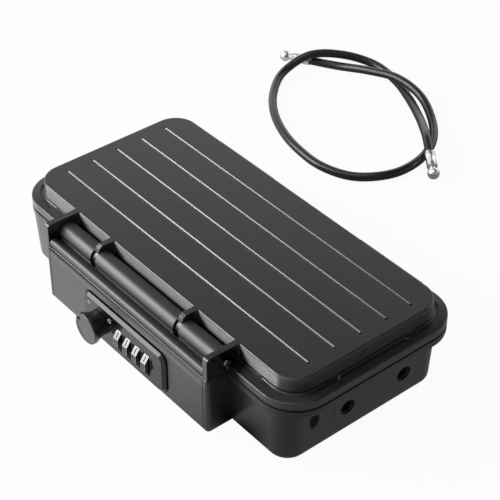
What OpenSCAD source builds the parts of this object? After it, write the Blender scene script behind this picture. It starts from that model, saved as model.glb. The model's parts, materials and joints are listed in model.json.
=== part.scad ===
// A slim lockable travel safe: a moulded case with a lid hinged at the rear, a latch bar along the front,
// a four wheel combination lock with a turning knob, and a cable whose ball ends go into two side holes.
// The lock side faces -Y and the long side runs along X. The origin is on the ground under the case.
// Radial sizes of the case are counted outward from the line through its four corner centres.

/* [Case] */
// Length of the lid across its top edge
lid_len = 233; // [220:1:260]
// Depth of the lid across its top edge
lid_dep = 107; // [100:1:130]
// Height of the closed case
case_h = 54; // [52:0.5:62]
// Height of the seam between base and lid
seam_z = 38.8; // [37.6:0.2:40]
// Radius of the vertical corners at the lid's top edge
corner_r = 14.4; // [12:0.2:18]
// How far both flanges stand out past the lid's top edge
flange_out = 8.4; // [7.8:0.2:10]
// Height of the flange on the base
base_flange_t = 5.4; // [4.6:0.1:6]
// Height of the flange on the lid
lid_flange_t = 5.3; // [4.6:0.1:6]
// How far the foot of the base stands out past the lid's top edge
foot_out = 1.4; // [1:0.1:2]
// How far the base wall leans out between its foot and the flange
wall_lean = 1.6; // [0.8:0.1:2.2]
// How much further the base's front wall stands out than its other walls
front_grow = 4; // [0:0.1:4.2]
// How much further in the base's rear wall and the inside stand than the flange's middle would put them
rear_in = 3.4; // [0:0.1:3.6]
// How much smaller the plan radius of the base's corners is than that of the flange round the same middle
foot_tight = 4; // [0:0.1:5]
// Rounding along the bottom edge
foot_r = 4.5; // [3:0.5:8]
// Rounding along the lid's top edge
top_r = 1.2; // [0.6:0.1:2]
// Wall thickness at the foot of the base
wall_t = 4.2; // [3.4:0.1:4.4]
// Thickness of the floor
floor_t = 3; // [2.4:0.1:4]
// Thickness of the lid's top
lid_top_t = 3; // [2.4:0.1:3.6]
// Open gap between base and lid at the seam
seam_gap = 0.35; // [0.1:0.05:0.4]

/* [Lid Ledge And Grooves] */
// Width of the flat ledge on the lid's flange
ledge_w = 4.8; // [4:0.1:5]
// Width of the channel behind the ledge
channel_w = 1.6; // [1:0.1:1.8]
// Depth of the channel behind the ledge
channel_d = 0.9; // [0.3:0.1:1.2]
// Height of the flare from the channel into the lid wall
flare_h = 0.8; // [0.4:0.2:5]
// Number of grooves in the lid
groove_n = 5; // [3:1:5]
// Distance between neighbouring grooves
groove_pitch = 18; // [14:0.5:20]
// Width of a groove across its sloping sides
groove_w = 1.7; // [1:0.1:2.4]
// Depth of a groove
groove_d = 0.8; // [0.5:0.1:1.4]
// How far a groove ends short of the lid's end
groove_end = 7.5; // [5:0.5:20]

/* [Seal And Lining] */
// Width of the seal groove in the base rim
seal_w = 1.8; // [1.4:0.1:2]
// Depth of the seal groove
seal_d = 2.4; // [2:0.1:3]
// Height of the rubber seal
seal_h = 1.2; // [1:0.1:1.4]
// How far the lid's rib reaches into the seal groove
rib_drop = 0.9; // [0.6:0.1:1]
// Thickness of the foam pad in the base
base_pad_t = 4; // [2:0.5:8]
// Thickness of the foam pad in the lid
lid_pad_t = 3; // [2:0.5:5]
// Gap between a foam pad and the walls
pad_gap = 0.4; // [0.3:0.1:1]

/* [Lock Housing] */
// Half length of the bay between the two ears
bay_half = 70.9; // [66:0.1:74]
// Thickness of each ear
ear_t = 3.7; // [3:0.1:4.5]
// Rounding of an ear's top front corner
ear_r = 2.4; // [1:0.1:4]
// Thickness of the lid wall behind the latch
bay_wall_t = 3; // [2.4:0.1:3.2]
// Height of the band that stays above the bay
band_h = 4.5; // [3:0.1:5]
// How far the lock housing stands out past the flange
box_out = 13.5; // [12.8:0.1:15]
// Wall thickness of the lock housing
box_wall = 3; // [2.4:0.1:3.2]
// Rounding of the housing's upright corners
box_r = 2.5; // [1.5:0.1:3]
// Rounding of the housing's top edge
box_top_r = 2.4; // [1:0.1:2.5]
// Rounding of the housing's bottom edge
box_foot_r = 1.5; // [0.5:0.1:2]
// Height of the housing's underside above the ground
box_lift = 2; // [0.5:0.1:2.4]
// Thickness of the housing's floor
box_floor_t = 2; // [1.6:0.1:2.1]
// Width of the two upright grooves in the housing's front
crease_w = 0.8; // [0.4:0.1:1.2]
// Depth of those grooves
crease_d = 0.5; // [0.2:0.1:0.8]
// Height of the service window in the base wall
window_h = 22; // [16:0.5:23]
// Height of the window above the floor
window_up = 6; // [5:0.5:6.5]
// How far the cover overlaps the window on each side
cover_lap = 2.6; // [2:0.1:2.8]
// Thickness of the cover over the window
cover_t = 2; // [1.5:0.1:3]

/* [Latch Bar] */
// Height of the latch pin above the seam
pin_up = 6.2; // [6.1:0.1:6.6]
// Distance of the latch pin in front of the bay wall
pin_out = 8.3; // [7.8:0.1:8.8]
// Diameter of the latch pin
pin_d = 3; // [2.4:0.1:3.6]
// Radius of the latch barrel
barrel_r = 5.8; // [5.2:0.1:5.9]
// Gap between the barrel's end and an ear
end_gap = 0.4; // [0.3:0.1:0.8]
// Reach of the finger lip in front of the pin
lip_reach = 13; // [11.5:0.1:13.1]
// Radius of the rounded bead along the lip
lip_r = 2.6; // [1.8:0.1:3]
// Distance of the two inner ribs from the middle, to their centre
rib_x = 38.1; // [32:0.1:48]
// Thickness of an inner rib
rib_t = 3.6; // [3:0.1:4.5]
// Gap beside a rib in the barrel
rib_gap = 0.5; // [0.4:0.1:0.8]
// Radius of the rib's nose around the pin
nose_r = 4.4; // [3.6:0.1:5]
// Width of the hasp under the barrel
hasp_w = 12; // [8:0.5:14]
// Thickness of the hasp
hasp_t = 2; // [1.6:0.1:2.4]
// How far the hasp reaches below the seam
hasp_drop = 4; // [3.4:0.1:4.2]

/* [Lock Plate] */
// Left end of the lock plate
plate_x = -35.2; // [-38:0.1:-33]
// Length of the lock plate
plate_len = 75.1; // [74:0.1:80]
// Height of the lock plate
plate_h = 27.4; // [26:0.1:28]
// Corner radius of the lock plate
plate_r = 5.4; // [4:0.1:6]
// How far the plate stands out of the housing
plate_out = 2.5; // [2:0.1:3]
// Chamfer round the plate's face
plate_edge = 1.8; // [0.3:0.1:2.2]
// How deep the plate is sunk into the housing
plate_in = 0.8; // [0.5:0.1:1]
// Shadow gap round the plate
plate_gap = 0.6; // [0.3:0.1:0.9]
// Height of the lock's centre line above the ground
lock_z = 18.5; // [17.8:0.1:19]
// Diameter of the plate's four pegs
peg_d = 3; // [2:0.1:3.2]
// Distance of the pegs from the plate's ends
peg_in = 4.7; // [4:0.1:5]
// Distance of the pegs from the plate's top and bottom
peg_down = 3.8; // [3:0.1:4]

/* [Dials] */
// Position of the first dial
dial_x = -0.8; // [-2:0.1:0]
// Distance between neighbouring dials
dial_pitch = 8.4; // [8.2:0.1:8.6]
// Radius of a dial over its corners
dial_r = 8.2; // [7.6:0.1:8.4]
// Width of a dial
dial_w = 4.3; // [4:0.1:4.6]
// Gap between a dial and its window on each side
dial_gap = 0.65; // [0.4:0.05:0.8]
// Gap between a dial and its window at top and bottom
slot_gap = 0.3; // [0.2:0.05:0.6]
// Thickness of the plate between its windows
web_t = 1; // [0.8:0.1:1.2]
// Distance of the dial axle behind the housing's front
axle_in = 2.7; // [2.6:0.1:3.2]
// How far the dial axle lies below the knob's centre
axle_drop = 1; // [0:0.1:1.2]
// Diameter of the dial axle
axle_d = 3; // [2.4:0.1:3.2]
// Gap between a code disc and the plate
disc_gap = 0.4; // [0.3:0.05:0.8]
// Thickness of a code disc
disc_t = 1.6; // [1.2:0.1:1.8]
// Depth of the notch in a code disc
notch_d = 1; // [0.8:0.1:1.1]

/* [Knob And Cam] */
// Position of the knob
knob_x = -19.5; // [-20.5:0.1:-18.5]
// Diameter of the knob over its rim
knob_d = 19.2; // [18:0.1:20]
// Diameter of the knob at its foot
knob_foot_d = 15.4; // [14:0.1:17]
// Height of the knob
knob_h = 9.6; // [7:0.1:11]
// Gap between the knob and the plate
knob_gap = 0.2; // [0.1:0.05:0.4]
// Diameter of the knob's spindle
spindle_d = 6; // [5:0.1:6.6]
// Thickness of the locking cam
cam_t = 2; // [1.6:0.1:2.2]
// Width of the locking cam's arm
cam_w = 7; // [5:0.1:8]
// Gap between the cam's tip and the hasp
cam_gap = 0.9; // [0.7:0.1:1.4]
// How far the fence bar rises when the knob turns
fence_rise = 1.2; // [0.8:0.1:1.4]

/* [Side Holes And Cable] */
// Height of the two side holes
hole_z = 18.5; // [16:0.1:20]
// Position of the front side hole
hole_front_y = -16.5; // [-22:0.1:-12]
// Position of the rear side hole
hole_rear_y = 24; // [20:0.1:28]
// Diameter of the hole in the wall
hole_d = 9.6; // [9.4:0.1:11]
// Bore of the bushes
bush_bore = 8.4; // [8.2:0.1:8.6]
// How far the plate that holds both bushes reaches past them
port_side = 9.5; // [8.5:0.1:10]
// Diameter of the cable's ball ends
ball_d = 8; // [6:0.1:8]
// Diameter of the cable
cable_d = 6; // [4:0.1:6]
// Length of the sleeve on each cable end
sleeve_len = 13; // [10:0.5:15]
// Diameter of the sleeves
sleeve_d = 7; // [6.4:0.1:7.6]

/* [Rear Hinge] */
// Radius of the hinge knuckles
knuckle_r = 4; // [3.4:0.1:4.4]
// Diameter of the hinge pins
hinge_pin_d = 3; // [2.4:0.1:3.4]
// Length of one knuckle
knuckle_len = 9.7; // [8:0.1:12]
// Distance of each hinge from the middle
hinge_x = 64; // [50:1:72]

/* [Hidden] */
$fn = 64;

// Clearances
fix = 0.02;
run = 0.05;
eps = 1;

// Half spans of the corner centre line and the radial sizes counted from it
half_x = lid_len / 2 - corner_r;
half_y = lid_dep / 2 - corner_r;
foot_o = corner_r + foot_out;
neck_o = foot_o + wall_lean;
flange_o = corner_r + flange_out;
cavity_o = foot_o - wall_t;
ledge_o = flange_o - ledge_w;
channel_o = ledge_o - channel_w;
lid_wall_o = corner_r + 0.5;
lid_foot_o = lid_wall_o + 0.2;
lid_z = seam_z + seam_gap;
lid_in_z = case_h - lid_top_t;
edge = 0.3;
rim_r = 0.7;
inner_r = 3;

// Seal groove and rib
seal_in_o = cavity_o + 0.7;
seal_out_o = seal_in_o + seal_w;
seal_z = seam_z - seal_d;
seal_side = 0.1;
rib_side = 0.2;

// Places along Y, from the bay wall to the housing's front
bay_y = -(half_y + cavity_o + bay_wall_t);
pin_y = bay_y - pin_out;
pin_z = seam_z + pin_up;
box_y = -(half_y + flange_o + box_out);
box_in_y = box_y + box_wall;
box_half = bay_half + ear_t;
tub_y = -(half_y + foot_o);
box_top_in = seam_z - box_wall;
cavity_y = -(half_y + cavity_o);
plate_y = box_y - plate_out;
plate_back_y = box_y + plate_in;
plate_z = lock_z + 0.3 - plate_h / 2;
ear_y = box_y + 0.2;
housing_lap = 8;
cover_bite = wall_t - 1;
window_in = 7;
window_half = box_half - box_wall - window_in;

// Lock train
axle_y = box_y + axle_in;
axle_z = lock_z - axle_drop;
web_y = plate_y + web_t;
slot_half = sqrt(pow(dial_r, 2) - pow(axle_y - web_y, 2)) + slot_gap;
disc_r = axle_y - web_y - disc_gap;
wheel_side = dial_w / 2;
window_side = wheel_side + dial_gap;
pointer_off = 0.9;
pointer_up = 1.2;
dial_xs = [for (i = [0:3]) dial_x + i * dial_pitch];
collar_end = dial_pitch - wheel_side - run;
frame_t = 2;
frame_left = dial_xs[0] - wheel_side - run - frame_t;
frame_right = dial_xs[3] + collar_end + run + frame_t;
frame_back_t = 1.5;
frame_back_y = axle_y + dial_r + frame_back_t + 0.6;
frame_h = 17.2;
tab_w = 5.5;
tab_in = 1.5;
opening_h = 2 * dial_r + 2.4;
cam_y = frame_back_y + 0.5;
hasp_y = cam_y;
hasp_low = seam_z - hasp_drop;
pin_head_in = 0.6;
pin_head_out = 0.3;
dimple_r = 1.4;
cam_tip_z = hasp_low - cam_gap;
cam_hub_r = 5.5;
cam_screw_d = 3;
cam_head_d = 6;
screw_d = 2.5;
head_d = 4.6;
head_t = 1.5;
collar_r = 4.2;
yoke_t = 2;
yoke_half = 7;
finger_t = 1.2;
finger_y = box_in_y + 0.4;
finger_w = 2;
fence_z = floor_t + 1.6;
fence_t = 2.6;
finger_top = axle_z - disc_r - fence_rise - 0.2;

// Rear hinge
hinge_y = half_y + flange_o;
hinge_z = seam_z;
knuckle_gap = 0.3;
knuckle_step = knuckle_len + knuckle_gap;
knuckle_n = 5;
knuckle_clear = knuckle_r + 0.6;

// Side holes
hole_ys = [hole_front_y, hole_rear_y];
wall_in_x = half_x + cavity_o;
wall_slope = wall_lean / (seam_z - base_flange_t - foot_r);
wall_out_x = half_x + foot_o + wall_slope * (hole_z - foot_r);
bush_recess = 1.2;
bush_flange_t = 1.2;
bush_flange_r = hole_d / 2 + 1.8;
catch_t = 2.5;
post_off = 6.5;
post_r = 2.5;
post_pin_r = 1.5;
catch_side = 9;
catch_up = 8;
catch_x = wall_in_x - bush_flange_t - 4.4;
neck_d = 4.5;
neck_len = 2;
ball_at = sleeve_len + neck_len + 3.5;

// Route of the cable's centre line on the ground behind the case
cable_route = [[-172, 211.5, 4], [-153, 222.5, 4], [-131, 230, 8], [-108, 236, 10.5], [-84, 235, 8.5],
    [-62, 225, 4.2], [-44, 208, 3.3], [-34, 186, 3.3], [-34, 162, 3.3], [-47, 141, 3.3], [-69, 132, 3.3],
    [-94, 133, 3.3], [-117, 139, 3.3], [-139, 150, 3.3], [-158, 166, 3.3], [-171, 186, 5], [-169, 209, 11],
    [-156, 229, 9.5], [-138, 243, 4.5], [-114, 241, 3.3], [-91, 232, 3.3], [-69, 219.5, 5.5],
    [-51, 206.5, 9.8], [-41, 199, 11.2], [-30, 191, 8.8]];

// Points of an arc in a profile, from angle a0 to angle a1
function arc(c, r, a0, a1, n = 6) =
    [for (i = [0:n]) c + r * [cos(a0 + (a1 - a0) * i / n), sin(a0 + (a1 - a0) * i / n)]];

// A profile mirrored about the middle plane and pushed out by h on both sides
function both_sides(p, h) =
    concat([for (q = p) [h + q[0], q[1]]], [for (i = [len(p) - 1:-1:0]) [-h - p[i][0], p[i][1]]]);

// A solid whose side follows one profile round the rounded rectangle of half spans hx and hy
module swept(p, hx = half_x, hy = half_y) {
    for (sx = [-1, 1], sy = [-1, 1])
        translate([sx * hx, sy * hy])
            rotate_extrude()
                polygon(concat([[0, p[0][1]]], p, [[0, p[len(p) - 1][1]]]));
    translate([-hx, 0])
        rotate([90, 0, 90])
            linear_extrude(2 * hx)
                polygon(both_sides(p, hy));
    translate([0, hy])
        rotate([90, 0, 0])
            linear_extrude(2 * hy)
                polygon(both_sides(p, hx));
}

// A flat slab of the case's plan, out to the radial size o and from z0 to z1
module slab(o, z0, z1) {
    swept([[o, z0], [o, z1]]);
}

// A box given by its two corners
module block(a, b) {
    translate(a)
        cube(b - a);
}

// Cylinders along X and along Y
module rod_x(r, x0, x1, y, z) {
    translate([x0, y, z])
        rotate([0, 90, 0])
            cylinder(r = r, h = x1 - x0);
}

module rod_y(r, y0, y1, x, z) {
    translate([x, y0, z])
        rotate([-90, 0, 0])
            cylinder(r = r, h = y1 - y0);
}

// A prism along X whose outline is given in Y and Z
module prism_x(p, x0, x1) {
    translate([x0, 0])
        rotate([90, 0, 90])
            linear_extrude(x1 - x0)
                polygon(p);
}

// A prism along Y, from y0 to y1, over a rounded rectangle in X and Z
module pad_y(x0, z0, w, h, r, y0, y1) {
    translate([0, y1])
        rotate([90, 0, 0])
            linear_extrude(y1 - y0)
                union() {
                    translate([x0 + r, z0])
                        square([w - 2 * r, h]);
                    translate([x0, z0 + r])
                        square([w, h - 2 * r]);
                    for (sx = [0, 1], sz = [0, 1])
                        translate([x0 + r + sx * (w - 2 * r), z0 + r + sz * (h - 2 * r)])
                            circle(r);
                }
}

// The lock plate's slab, with a chamfer round its face
module plate_body() {
    depth = plate_out + plate_in;
    translate([plate_x + plate_len / 2, plate_back_y, plate_z + plate_h / 2])
        rotate([90, 0, 0])
            swept([[plate_r, 0], [plate_r, depth - plate_edge], [plate_r - plate_edge, depth]],
                plate_len / 2 - plate_r, plate_h / 2 - plate_r);
}

// Outlines of the base's walls, whose corners are tighter, and of its flange
wall_outer = concat(
    arc([foot_o - foot_tight - foot_r, foot_r], foot_r, -90, 0),
    [[neck_o - foot_tight, seam_z - base_flange_t + 0.5]]);

base_flange = concat(
    arc([flange_o - 1, seam_z - base_flange_t + 1], 1, -90, 0, 3),
    [[flange_o, seam_z - edge], [flange_o - edge, seam_z]]);

lid_outer = concat(
    [[flange_o - edge, lid_z], [flange_o, lid_z + edge]],
    arc([flange_o - rim_r, seam_z + lid_flange_t - rim_r], rim_r, 0, 90, 3),
    [[ledge_o, seam_z + lid_flange_t + 0.3], [ledge_o, seam_z + lid_flange_t + 0.3 - channel_d]],
    [for (a = [0:22.5:90]) [lid_foot_o + (channel_o - lid_foot_o) * (1 - sin(a)),
        seam_z + lid_flange_t + 0.3 - channel_d + flare_h * (1 - cos(a))]],
    arc([lid_wall_o - top_r, case_h - top_r], top_r, 0, 90));

box_side = concat(
    arc([box_r - box_foot_r, box_lift + box_foot_r], box_foot_r, -90, 0, 4),
    arc([box_r - box_top_r, seam_z - box_top_r], box_top_r, 0, 90, 4));

// The base's walls and floor as one block, further out at the front
module wall_block() {
    translate([0, -(front_grow + rear_in) / 2])
        swept(wall_outer, half_x + foot_tight, half_y + foot_tight + (front_grow - rear_in) / 2);
}

// The lock housing before it is hollowed, run back into the case
module housing_block() {
    rear = cavity_y + housing_lap;
    translate([0, (box_y + rear) / 2])
        swept(box_side, box_half - box_r, (rear - box_y) / 2 - box_r);
}

// One hinge knuckle number k of the hinge on side s, with radius r and its length grown by g
module knuckle(s, k, r, g = 0) {
    x0 = s * hinge_x + (k - knuckle_n / 2) * knuckle_step + knuckle_gap / 2;
    rod_x(r, x0 - g, x0 + knuckle_len + g, hinge_y, hinge_z);
}

// Room cut out of one flange for the other half's knuckle
module knuckle_room(s, k, z0, z1) {
    x0 = s * hinge_x + (k - knuckle_n / 2) * knuckle_step + knuckle_gap / 2;
    block([x0 - knuckle_gap, hinge_y - knuckle_clear, z0],
        [x0 + knuckle_len + knuckle_gap, hinge_y + knuckle_clear, z1]);
}

module hinge_bores(r) {
    reach = knuckle_n * knuckle_step;
    for (s = [-1, 1])
        rod_x(r, s * hinge_x - reach, s * hinge_x + reach, hinge_y, hinge_z);
}

// Screw places of the window cover and of the lock frame
cover_z0 = floor_t + window_up - cover_lap;
cover_half = window_half + 2 * cover_lap + 1;
cover_screw_x = window_half + cover_lap + 0.4;
cover_screw_zs = [floor_t + window_up + 3, floor_t + window_up + window_h - 3];
frame_screw_xs = [frame_left - tab_w / 2, frame_right + tab_w / 2];
frame_screw_zs = [axle_z - 4, axle_z + 3.7];
peg_xs = [plate_x + peg_in, plate_x + plate_len - peg_in];
peg_zs = [plate_z + peg_down, plate_z + plate_h - peg_down];

module cover_screw_places() {
    for (sx = [-1, 1], z = cover_screw_zs)
        translate([sx * cover_screw_x, cavity_y + cover_t, z])
            children();
}

module frame_screw_places() {
    for (x = frame_screw_xs, z = frame_screw_zs)
        translate([x, box_in_y + frame_t, z])
            children();
}

// A screw whose head sits behind the point it is placed at, with its shank running toward -Y
module screw(d, len, hd, ht) {
    rotate([-90, 0, 0])
        cylinder(d = hd, h = ht);
    rotate([90, 0, 0])
        cylinder(d = d, h = len);
}

module base_shell() {
    color("#2a2c30")
        difference() {
            union() {
                wall_block();
                swept(base_flange);
                for (s = [-1, 1], k = [0, 2, 4])
                    knuckle(s, k, knuckle_r);
            }
            // Room for the lock housing under the flange
            block([-box_half, box_y, -eps], [box_half, tub_y, seam_z - base_flange_t]);
            // Inside of the case
            translate([0, -rear_in / 2])
                swept(concat(arc([cavity_o - inner_r, floor_t + inner_r], inner_r, -90, 0, 4),
                    [[cavity_o, seam_z + eps]]), half_x, half_y - rear_in / 2);
            // Seal groove
            difference() {
                slab(seal_out_o, seal_z, seam_z + eps);
                slab(seal_in_o, seal_z - eps, seam_z + 2 * eps);
            }
            // Window into the lock housing, and the seat of the plate with the side holes
            block([-window_half, tub_y - eps, floor_t + window_up],
                [window_half, cavity_y + eps, floor_t + window_up + window_h]);
            cover_screw_places()
                rotate([90, 0, 0])
                    cylinder(d = screw_d, h = cover_t + cover_bite + 0.4);
            port_block();
            hasp_slot();
            // Room for the lid's knuckles
            for (s = [-1, 1], k = [1, 3])
                knuckle_room(s, k, hinge_z - knuckle_clear, hinge_z + eps);
            hinge_bores(hinge_pin_d / 2 + fix);
        }
}

// Slot that lets the hasp and the cam's tip through the flange and the housing's top
module hasp_slot() {
    front = pin_y - sqrt(pow(pin_z - hasp_low, 2) + 9);
    block([knob_x - hasp_w / 2 - 0.7, front, seam_z - base_flange_t - eps],
        [knob_x + hasp_w / 2 + 0.7, hasp_y + hasp_t + 0.4, seam_z + eps]);
}

// Room in the right wall for the plate with the side holes
module port_block() {
    block([wall_in_x, hole_front_y - port_side, hole_z - port_side],
        [wall_out_x + 5, hole_rear_y + port_side, hole_z + port_side]);
}

// The back of the housing in Y and Z, along the tub's wall and its flange
tub_back = concat([[tub_y, -eps], [tub_y, seam_z - base_flange_t]],
    [for (q = base_flange) if (q[1] < seam_z) [-(half_y + q[0]), q[1]]],
    [[-(half_y + flange_o), seam_z + eps], [0, seam_z + eps], [0, -eps]]);

// The housing is a box with an open back that sits against the tub's wall and under its flange
module lock_housing() {
    color("#2a2c30")
        difference() {
            housing_block();
            prism_x(tub_back, -box_half - eps, box_half + eps);
            block([-box_half + box_wall, box_in_y, box_lift + box_floor_t],
                [box_half - box_wall, cavity_y, box_top_in]);
            // Upright grooves in line with the ears
            for (s = [-1, 1])
                translate([s * bay_half, box_y])
                    linear_extrude(seam_z + eps)
                        polygon([[-crease_w / 2, -eps], [-crease_w / 2, 0], [0, crease_d], [crease_w / 2, 0],
                            [crease_w / 2, -eps]]);
            hasp_slot();
            // Shallow seat of the plate, its pegs, the dial opening and the spindle hole
            pad_y(plate_x - plate_gap, plate_z - plate_gap, plate_len + 2 * plate_gap,
                plate_h + 2 * plate_gap, plate_r + plate_gap, box_y - eps, plate_back_y);
            for (x = peg_xs, z = peg_zs)
                rod_y(peg_d / 2 + fix, box_y, box_in_y - 0.4, x, z);
            block([frame_left - 0.3, box_y - eps, axle_z - opening_h / 2],
                [frame_right + 0.3, box_in_y + eps, axle_z + opening_h / 2]);
            rod_y(spindle_d / 2 + run, box_y - eps, box_in_y + eps, knob_x, lock_z);
            frame_screw_places()
                rotate([90, 0, 0])
                    cylinder(d = screw_d, h = frame_t + 2.2);
        }
}

// The part of the right wall round the side holes, with the sockets of the catch
module port_plate() {
    color("#2a2c30")
        difference() {
            intersection() {
                wall_block();
                port_block();
            }
            for (y = hole_ys)
                rod_x(hole_d / 2, wall_in_x - eps, wall_out_x + 5, y, hole_z);
            for (y = catch_posts)
                rod_x(post_pin_r + fix, wall_in_x - eps, wall_in_x + 2.2, y, hole_z);
        }
}

module lid_shell() {
    color("#2f3135")
        difference() {
            union() {
                difference() {
                    swept(lid_outer);
                    // Bay in front of the lid wall, between the ears
                    block([-box_half, box_y - eps, lid_z - eps], [box_half, bay_y, case_h - band_h]);
                }
                // Rib that presses the seal
                difference() {
                    slab(seal_out_o - rib_side, seam_z - rib_drop, lid_z + eps);
                    slab(seal_in_o + rib_side, seam_z - rib_drop - eps, lid_z + 2 * eps);
                }
                for (s = [-1, 1])
                    ear(s);
                for (s = [-1, 1])
                    inner_rib(s);
                for (s = [-1, 1], k = [1, 3])
                    knuckle(s, k, knuckle_r);
            }
            slab(cavity_o, lid_z - 2 * eps, lid_in_z);
            for (i = [0:groove_n - 1])
                groove((i - (groove_n - 1) / 2) * groove_pitch);
            // Pin bore with a shallow seat for the pin's head at each end
            rod_x(pin_d / 2 + fix, -box_half - eps, box_half + eps, pin_y, pin_z);
            for (s = [-1, 1])
                translate([s * (box_half - pin_head_in), pin_y, pin_z])
                    rotate([0, s * 90, 0])
                        cylinder(r = pin_d / 2 + pin_head_out + fix, h = pin_head_in + eps);
            for (s = [-1, 1], k = [0, 2, 4])
                knuckle_room(s, k, hinge_z - eps, seam_z + lid_flange_t + eps);
            hinge_bores(hinge_pin_d / 2 + run);
        }
}

// An ear at one end of the latch bay
module ear(s) {
    x0 = s > 0 ? bay_half : -box_half;
    prism_x(concat([[cavity_y - 0.5, case_h], [cavity_y - 0.5, lid_z], [ear_y, lid_z]],
        arc([ear_y + ear_r, case_h - ear_r], ear_r, 180, 90)), x0, x0 + ear_t);
}

// A rib that carries the latch pin between the ears
module inner_rib(s) {
    x0 = s * rib_x - rib_t / 2;
    prism_x([[cavity_y - 0.5, case_h], [pin_y + 0.5, case_h], [pin_y - 1.5, case_h - 1.2],
        [pin_y - 2.6, case_h - 3.5], [pin_y, pin_z], [cavity_y - 0.5, pin_z]], x0, x0 + rib_t);
    rod_x(nose_r, x0, x0 + rib_t, pin_y, pin_z);
}

// A straight groove with sloping sides and coned ends in the lid's top
module groove(y) {
    reach = lid_len / 2 - groove_end - groove_w / 2;
    side = groove_w / 2;
    prism_x([[y - side, case_h], [y, case_h - groove_d], [y + side, case_h], [y + side, case_h + eps],
        [y - side, case_h + eps]], -reach, reach);
    for (s = [-1, 1])
        translate([s * reach, y])
            rotate_extrude()
                polygon([[0, case_h - groove_d], [side, case_h], [side, case_h + eps], [0, case_h + eps]]);
}

module gasket() {
    color("#17181a")
        difference() {
            slab(seal_out_o - seal_side, seal_z, seal_z + seal_h);
            slab(seal_in_o + seal_side, seal_z - eps, seal_z + seal_h + eps);
        }
}

module hinge_pins() {
    color("#a8abb0")
        for (s = [-1, 1])
            rod_x(hinge_pin_d / 2, s * hinge_x - knuckle_n / 2 * knuckle_step + knuckle_gap / 2,
                s * hinge_x + knuckle_n / 2 * knuckle_step - knuckle_gap / 2, hinge_y, hinge_z);
}

// Outline of the finger lip: a valley in front of the barrel, then a rounded bead
lip_y = pin_y - lip_reach + lip_r;
lip_z = seam_z + 0.45;
valley_back = pin_y - barrel_r * 0.86;
valley_len = valley_back - lip_y - lip_r;
lip_outline = concat([[pin_y - 3, lip_z], [pin_y - 3, pin_z - 2]],
    [for (q = [[0, 0.6], [0.35, 0.15], [0.65, 0.15], [0.95, 0.45]])
        [valley_back - valley_len * q[0], lip_z + lip_r + q[1]]],
    [for (a = [20:12.5:270]) [lip_y + lip_r * cos(a), lip_z + lip_r + lip_r * sin(a)]]);

module latch_flap() {
    reach = bay_half - end_gap;
    color("#33363b")
        difference() {
            union() {
                rod_x(barrel_r, -reach, reach, pin_y, pin_z);
                prism_x(lip_outline, -reach, reach);
                block([knob_x - hasp_w / 2, hasp_y, hasp_low],
                    [knob_x + hasp_w / 2, hasp_y + hasp_t, pin_z - 3]);
            }
            for (x = [-rib_x, rib_x])
                rod_x(barrel_r + 0.8, x - rib_t / 2 - rib_gap, x + rib_t / 2 + rib_gap, pin_y, pin_z);
            rod_x(pin_d / 2 + run, -box_half, box_half, pin_y, pin_z);
        }
}

// The pin runs through both ears and ends in low domed heads
module latch_pin() {
    color("#b9bcc2")
        union() {
            rod_x(pin_d / 2, -box_half + 0.5, box_half - 0.5, pin_y, pin_z);
            for (s = [-1, 1])
                translate([s * (box_half - pin_head_in), pin_y, pin_z])
                    rotate([0, s * 90, 0])
                        rotate_extrude()
                            polygon(concat([[0, 0], [pin_d / 2 + pin_head_out, 0]],
                                [for (a = [0:22.5:90])
                                    [(pin_d / 2 + pin_head_out) * cos(a), 0.25 + 0.5 * sin(a)]]));
        }
}

module lock_plate() {
    color("#3a3c40")
        difference() {
            union() {
                plate_body();
                for (x = peg_xs, z = peg_zs)
                    rod_y(peg_d / 2, plate_back_y - 0.5, box_in_y - 0.6, x, z);
            }
            for (x = dial_xs)
                block([x - window_side, plate_y - eps, axle_z - slot_half],
                    [x + window_side, plate_back_y + eps, axle_z + slot_half]);
            // Hollow behind the windows
            block([frame_left - 0.3, web_y, axle_z - opening_h / 2],
                [frame_right + 0.3, plate_back_y + eps, axle_z + opening_h / 2]);
            rod_y(spindle_d / 2 + 0.2, plate_y - eps, plate_back_y + eps, knob_x, lock_z);
            // Pointers cut beside the first and the last dial
            pointer(dial_xs[0] - window_side - pointer_off, -1);
            pointer(dial_xs[3] + window_side + pointer_off, 1);
        }
}

// A small triangular pocket whose tip faces the dials
module pointer(x, s) {
    translate([x, plate_y + 0.5, lock_z + pointer_up])
        rotate([90, 0, 0])
            linear_extrude(eps + 0.5)
                polygon(s > 0 ? [[0, 0], [2.8, -1.5], [2.8, 1.5]] : [[0, 0], [-2.8, 1.5], [-2.8, -1.5]]);
}

module lock_cover() {
    color("#232427")
        difference() {
            block([-cover_half, cavity_y, cover_z0],
                [cover_half, cavity_y + cover_t, floor_t + window_up + window_h + cover_lap]);
            cover_screw_places()
                rotate([90, 0, 0])
                    translate([0, 0, -eps])
                        cylinder(d = screw_d + 0.3, h = cover_t + 2 * eps);
        }
}

module cover_screws() {
    color("#9a9da3")
        cover_screw_places()
            screw(screw_d - 2 * fix, cover_t + cover_bite, head_d, head_t);
}

module lock_frame() {
    z0 = axle_z - frame_h / 2;
    z1 = axle_z + frame_h / 2;
    color("#8d9096")
        difference() {
            union() {
                block([frame_left, plate_back_y + 0.1, z0], [frame_left + frame_t, frame_back_y, z1]);
                block([frame_right - frame_t, plate_back_y + 0.1, z0], [frame_right, frame_back_y, z1]);
                block([frame_left, frame_back_y - frame_back_t, z0], [frame_right, frame_back_y, z1]);
                for (x = [frame_left - tab_w, frame_right - eps])
                    block([x, box_in_y, z0 + tab_in], [x + tab_w + eps, box_in_y + frame_t, z1 - tab_in]);
            }
            rod_x(axle_d / 2 + fix, frame_left - eps, frame_right + eps, axle_y, axle_z);
            frame_screw_places()
                rotate([90, 0, 0])
                    translate([0, 0, -eps])
                        cylinder(d = screw_d + 0.3, h = frame_t + 2 * eps);
        }
}

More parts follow.
